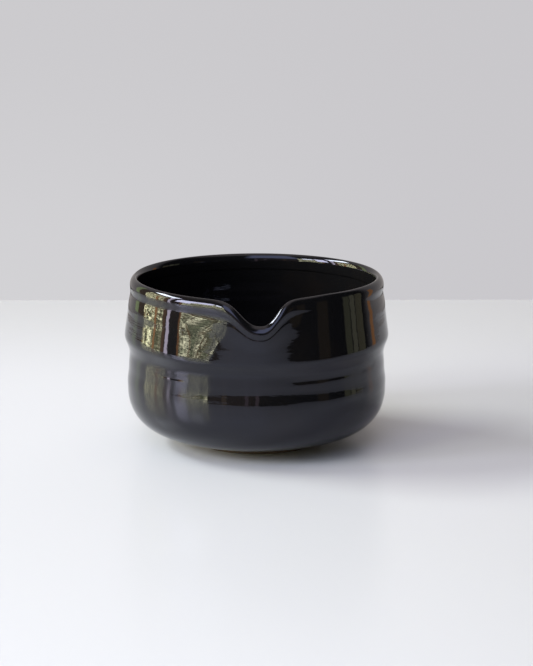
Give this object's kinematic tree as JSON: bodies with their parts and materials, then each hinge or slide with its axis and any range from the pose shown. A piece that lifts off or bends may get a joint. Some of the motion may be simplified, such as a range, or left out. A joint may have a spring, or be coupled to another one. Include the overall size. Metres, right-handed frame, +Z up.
{
  "type": "matcha bowl",
  "caption": "Black-glazed stoneware tea bowl with a pulled pouring lip, a low ridge round its wall and a bare foot ring.",
  "frame": {"origin": "centre of the face of the foot ring that rests on the table", "axes": "+Z up along the bowl's throwing axis; the pouring lip points towards -Y; +X to the right when the lip faces the viewer"},
  "size_m": [0.1206, 0.1218, 0.0769],
  "materials": {
    "stoneware": "bare fired iron-bearing stoneware, matt, turned",
    "black_glaze": "glossy black glaze, breaking thin and brown on the edge of the rim"
  },
  "bodies": {
    "root": {"stoneware_body": "stoneware", "foot_ring": "stoneware", "exterior_glaze": "black_glaze", "interior_glaze": "black_glaze", "foot_well_glaze": "black_glaze"}
  },
  "joints": []
}
